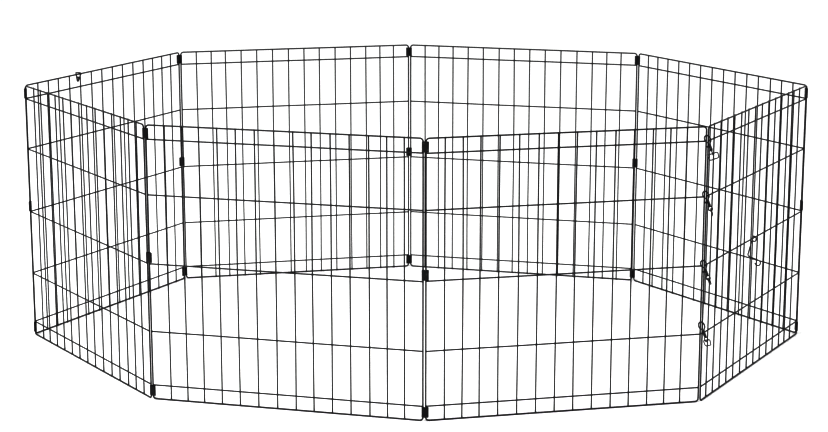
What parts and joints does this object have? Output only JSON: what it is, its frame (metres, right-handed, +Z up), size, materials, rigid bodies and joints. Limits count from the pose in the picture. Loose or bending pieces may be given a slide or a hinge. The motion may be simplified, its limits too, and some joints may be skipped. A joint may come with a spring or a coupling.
{
  "type": "pet playpen",
  "caption": "Folding wire exercise pen: welded square panels hinged by strip clips into a ring, closed at one corner by bolt snaps.",
  "frame": {"origin": "middle of the ring of panels, on the floor", "axes": "+Z up; X is the ring's longer way across, Y the shorter; the snapped corner is towards +X and -Y"},
  "size_m": [1.8472, 1.3272, 0.6133],
  "materials": {
    "frame_wire": "black satin coating over bent wire",
    "fill_wire": "black satin coating over straight wire",
    "clip_strip": "black coating over bent strip",
    "snap_metal": "black coated casting",
    "bent_wire": "black satin coating over bent wire"
  },
  "bodies": {
    "panel_1": {"panel_1_frame": "frame_wire", "panel_1_grid": "fill_wire"},
    "panel_2": {"panel_2_frame": "frame_wire", "panel_2_grid": "fill_wire"},
    "panel_3": {"panel_3_frame": "frame_wire", "panel_3_grid": "fill_wire"},
    "panel_4": {"panel_4_frame": "frame_wire", "panel_4_grid": "fill_wire"},
    "panel_5": {"panel_5_frame": "frame_wire", "panel_5_grid": "fill_wire"},
    "panel_6": {"panel_6_frame": "frame_wire", "panel_6_grid": "fill_wire"},
    "panel_7": {"panel_7_frame": "frame_wire", "panel_7_grid": "fill_wire"},
    "panel_8": {"panel_8_frame": "frame_wire", "panel_8_grid": "fill_wire"},
    "hinge_1": {"hinge_1_clip_top": "clip_strip", "hinge_1_clip_middle": "clip_strip", "hinge_1_clip_bottom": "clip_strip"},
    "hinge_2": {"hinge_2_clip_top": "clip_strip", "hinge_2_clip_middle": "clip_strip", "hinge_2_clip_bottom": "clip_strip"},
    "hinge_3": {"hinge_3_clip_top": "clip_strip", "hinge_3_clip_middle": "clip_strip", "hinge_3_clip_bottom": "clip_strip"},
    "hinge_4": {"hinge_4_clip_top": "clip_strip", "hinge_4_clip_middle": "clip_strip", "hinge_4_clip_bottom": "clip_strip"},
    "hinge_5": {"hinge_5_clip_top": "clip_strip", "hinge_5_clip_middle": "clip_strip", "hinge_5_clip_bottom": "clip_strip"},
    "hinge_6": {"hinge_6_clip_top": "clip_strip", "hinge_6_clip_middle": "clip_strip", "hinge_6_clip_bottom": "clip_strip"},
    "hinge_7": {"hinge_7_clip_top": "clip_strip", "hinge_7_clip_middle": "clip_strip", "hinge_7_clip_bottom": "clip_strip"},
    "snap_1": {"snap_1_hook": "snap_metal"},
    "snap_1_bolt": {"snap_1_bolt": "snap_metal"},
    "snap_1_eye": {"snap_1_eye": "snap_metal"},
    "snap_1_ring": {"snap_1_ring": "snap_metal"},
    "snap_2": {"snap_2_hook": "snap_metal"},
    "snap_2_bolt": {"snap_2_bolt": "snap_metal"},
    "snap_2_eye": {"snap_2_eye": "snap_metal"},
    "snap_2_ring": {"snap_2_ring": "snap_metal"},
    "snap_3": {"snap_3_hook": "snap_metal"},
    "snap_3_bolt": {"snap_3_bolt": "snap_metal"},
    "snap_3_eye": {"snap_3_eye": "snap_metal"},
    "snap_3_ring": {"snap_3_ring": "snap_metal"},
    "snap_4": {"snap_4_hook": "snap_metal"},
    "snap_4_bolt": {"snap_4_bolt": "snap_metal"},
    "snap_4_eye": {"snap_4_eye": "snap_metal"},
    "snap_4_ring": {"snap_4_ring": "snap_metal"},
    "wire_hook": {"wire_hook": "bent_wire"},
    "spare_clip": {"spare_clip": "snap_metal"}
  },
  "joints": [
    {"name": "fold", "type": "hinge", "parent": "panel_4", "child": "panel_5", "pos_m": [-0.61147, 0.53768, 0], "axis": [0, 0, -1], "range_deg": [0, 225.6]},
    {"name": "corner_5", "type": "hinge", "parent": "panel_5", "child": "panel_6", "pos_m": [-0.91726, 0.00793, 0], "axis": [0, 0, 1], "range_deg": [0, 113.71]},
    {"name": "corner_6", "type": "hinge", "parent": "panel_6", "child": "panel_7", "pos_m": [-0.58352, -0.50455, 0], "axis": [0, 0, 1], "range_deg": [-219.31, 0]},
    {"name": "door", "type": "hinge", "parent": "panel_7", "child": "panel_8", "pos_m": [0.01015, -0.65718, 0], "axis": [0, 0, 1], "range_deg": [-38, 150]},
    {"name": "corner_3", "type": "hinge", "parent": "panel_4", "child": "panel_3", "pos_m": [-0.01015, 0.65718, 0], "axis": [0, 0, 1], "range_deg": [-151.21, 0]},
    {"name": "corner_2", "type": "hinge", "parent": "panel_3", "child": "panel_2", "pos_m": [0.58352, 0.50455, 0], "axis": [0, 0, 1], "range_deg": [0, 219.31]},
    {"name": "corner_1", "type": "hinge", "parent": "panel_2", "child": "panel_1", "pos_m": [0.91726, -0.00793, 0], "axis": [0, 0, 1], "range_deg": [-113.71, 0]},
    {"name": "clips_1_turn", "type": "hinge", "parent": "panel_1", "child": "hinge_1", "pos_m": [0.92079, -0.01083, 0], "axis": [0, 0, 1], "range_deg": [0, 56.86]},
    {"name": "clips_2_turn", "type": "hinge", "parent": "panel_2", "child": "hinge_2", "pos_m": [0.58395, 0.5, 0], "axis": [0, 0, 1], "range_deg": [-109.66, 0]},
    {"name": "clips_3_turn", "type": "hinge", "parent": "panel_3", "child": "hinge_3", "pos_m": [-0.00705, 0.66054, 0], "axis": [0, 0, 1], "range_deg": [0, 75.61]},
    {"name": "clips_4_turn", "type": "hinge", "parent": "panel_4", "child": "hinge_4", "pos_m": [-0.60703, 0.53662, 0], "axis": [0, 0, 1], "range_deg": [-112.81, 0]},
    {"name": "clips_5_turn", "type": "hinge", "parent": "panel_5", "child": "hinge_5", "pos_m": [-0.92079, 0.01083, 0], "axis": [0, 0, 1], "range_deg": [0, 56.86]},
    {"name": "clips_6_turn", "type": "hinge", "parent": "panel_6", "child": "hinge_6", "pos_m": [-0.58395, -0.5, 0], "axis": [0, 0, 1], "range_deg": [-109.66, 0]},
    {"name": "clips_7_turn", "type": "hinge", "parent": "panel_7", "child": "hinge_7", "pos_m": [0.00705, -0.66054, 0], "axis": [0, 0, 1], "range_deg": [-19.01, 75.01]},
    {"name": "snap_1_lift", "type": "hinge", "parent": "panel_1", "child": "snap_1", "pos_m": [0.60947, -0.53488, 0.5824], "axis": [-0.8131, -0.5821, 0], "range_deg": [0, 40]},
    {"name": "snap_1_bolt_slide", "type": "slide", "parent": "snap_1", "child": "snap_1_bolt", "axis": [0.2911, -0.4066, -0.866], "range_m": [0, 0.003], "stiffness_N_per_m": 300, "springref_m": -0.005},
    {"name": "snap_1_eye_swivel", "type": "hinge", "parent": "snap_1", "child": "snap_1_eye", "pos_m": [0.61674, -0.54504, 0.56075], "axis": [0.2911, -0.4066, -0.866], "continuous": true},
    {"name": "snap_1_ring_swing", "type": "hinge", "parent": "snap_1_eye", "child": "snap_1_ring", "pos_m": [0.61936, -0.5487, 0.55295], "axis": [0.9351, -0.0704, 0.3473], "range_deg": [-80, 80]},
    {"name": "snap_2_lift", "type": "hinge", "parent": "panel_1", "child": "snap_2", "pos_m": [0.60947, -0.53488, 0.4618], "axis": [-0.8131, -0.5821, 0], "range_deg": [0, 40]},
    {"name": "snap_2_bolt_slide", "type": "slide", "parent": "snap_2", "child": "snap_2_bolt", "axis": [0.2911, -0.4066, -0.866], "range_m": [0, 0.003], "stiffness_N_per_m": 300, "springref_m": -0.005},
    {"name": "snap_2_eye_swivel", "type": "hinge", "parent": "snap_2", "child": "snap_2_eye", "pos_m": [0.61674, -0.54504, 0.44015], "axis": [0.2911, -0.4066, -0.866], "continuous": true},
    {"name": "snap_2_ring_swing", "type": "hinge", "parent": "snap_2_eye", "child": "snap_2_ring", "pos_m": [0.61936, -0.5487, 0.43235], "axis": [0.1365, 0.9136, -0.383], "range_deg": [-80, 80]},
    {"name": "snap_3_lift", "type": "hinge", "parent": "panel_1", "child": "snap_3", "pos_m": [0.60947, -0.53488, 0.31], "axis": [-0.8131, -0.5821, 0], "range_deg": [0, 40]},
    {"name": "snap_3_bolt_slide", "type": "slide", "parent": "snap_3", "child": "snap_3_bolt", "axis": [0.2911, -0.4066, -0.866], "range_m": [0, 0.003], "stiffness_N_per_m": 300, "springref_m": -0.005},
    {"name": "snap_3_eye_swivel", "type": "hinge", "parent": "snap_3", "child": "snap_3_eye", "pos_m": [0.61674, -0.54504, 0.28835], "axis": [0.2911, -0.4066, -0.866], "continuous": true},
    {"name": "snap_3_ring_swing", "type": "hinge", "parent": "snap_3_eye", "child": "snap_3_ring", "pos_m": [0.61936, -0.5487, 0.28055], "axis": [0.3304, 0.8922, -0.3078], "range_deg": [-80, 80]},
    {"name": "snap_4_lift", "type": "hinge", "parent": "panel_1", "child": "snap_4", "pos_m": [0.60947, -0.53488, 0.173], "axis": [-0.8131, -0.5821, 0], "range_deg": [0, 40]},
    {"name": "snap_4_bolt_slide", "type": "slide", "parent": "snap_4", "child": "snap_4_bolt", "axis": [0.2911, -0.4066, -0.866], "range_m": [0, 0.003], "stiffness_N_per_m": 300, "springref_m": -0.005},
    {"name": "snap_4_eye_swivel", "type": "hinge", "parent": "snap_4", "child": "snap_4_eye", "pos_m": [0.61674, -0.54504, 0.15135], "axis": [0.2911, -0.4066, -0.866], "continuous": true},
    {"name": "snap_4_ring_swing", "type": "hinge", "parent": "snap_4_eye", "child": "snap_4_ring", "pos_m": [0.61936, -0.5487, 0.14355], "axis": [0.7132, 0.6956, -0.0868], "range_deg": [-80, 80]},
    {"name": "wire_hook_swing", "type": "hinge", "parent": "panel_1", "child": "wire_hook", "pos_m": [0.76266, -0.27685, 0.305], "axis": [-0.509, -0.8607, 0], "range_deg": [-60, 120]},
    {"name": "spare_clip_swing", "type": "hinge", "parent": "panel_5", "child": "spare_clip", "pos_m": [-0.82071, 0.18006, 0.6084], "axis": [0.509, 0.8607, 0], "range_deg": [-35, 35]}
  ],
  "couplings": [
    {"joint": "corner_5", "follows": "fold", "ratio": 0.50399},
    {"joint": "corner_6", "follows": "fold", "ratio": -0.97207},
    {"joint": "corner_3", "follows": "fold", "ratio": -0.67021},
    {"joint": "corner_2", "follows": "fold", "ratio": 0.97207},
    {"joint": "corner_1", "follows": "fold", "ratio": -0.50399},
    {"joint": "clips_1_turn", "follows": "fold", "ratio": 0.25199},
    {"joint": "clips_2_turn", "follows": "fold", "ratio": -0.48604},
    {"joint": "clips_3_turn", "follows": "fold", "ratio": 0.33511},
    {"joint": "clips_4_turn", "follows": "fold", "ratio": -0.5},
    {"joint": "clips_5_turn", "follows": "fold", "ratio": 0.25199},
    {"joint": "clips_6_turn", "follows": "fold", "ratio": -0.48604},
    {"joint": "clips_7_turn", "follows": "door", "ratio": 0.5}
  ]
}
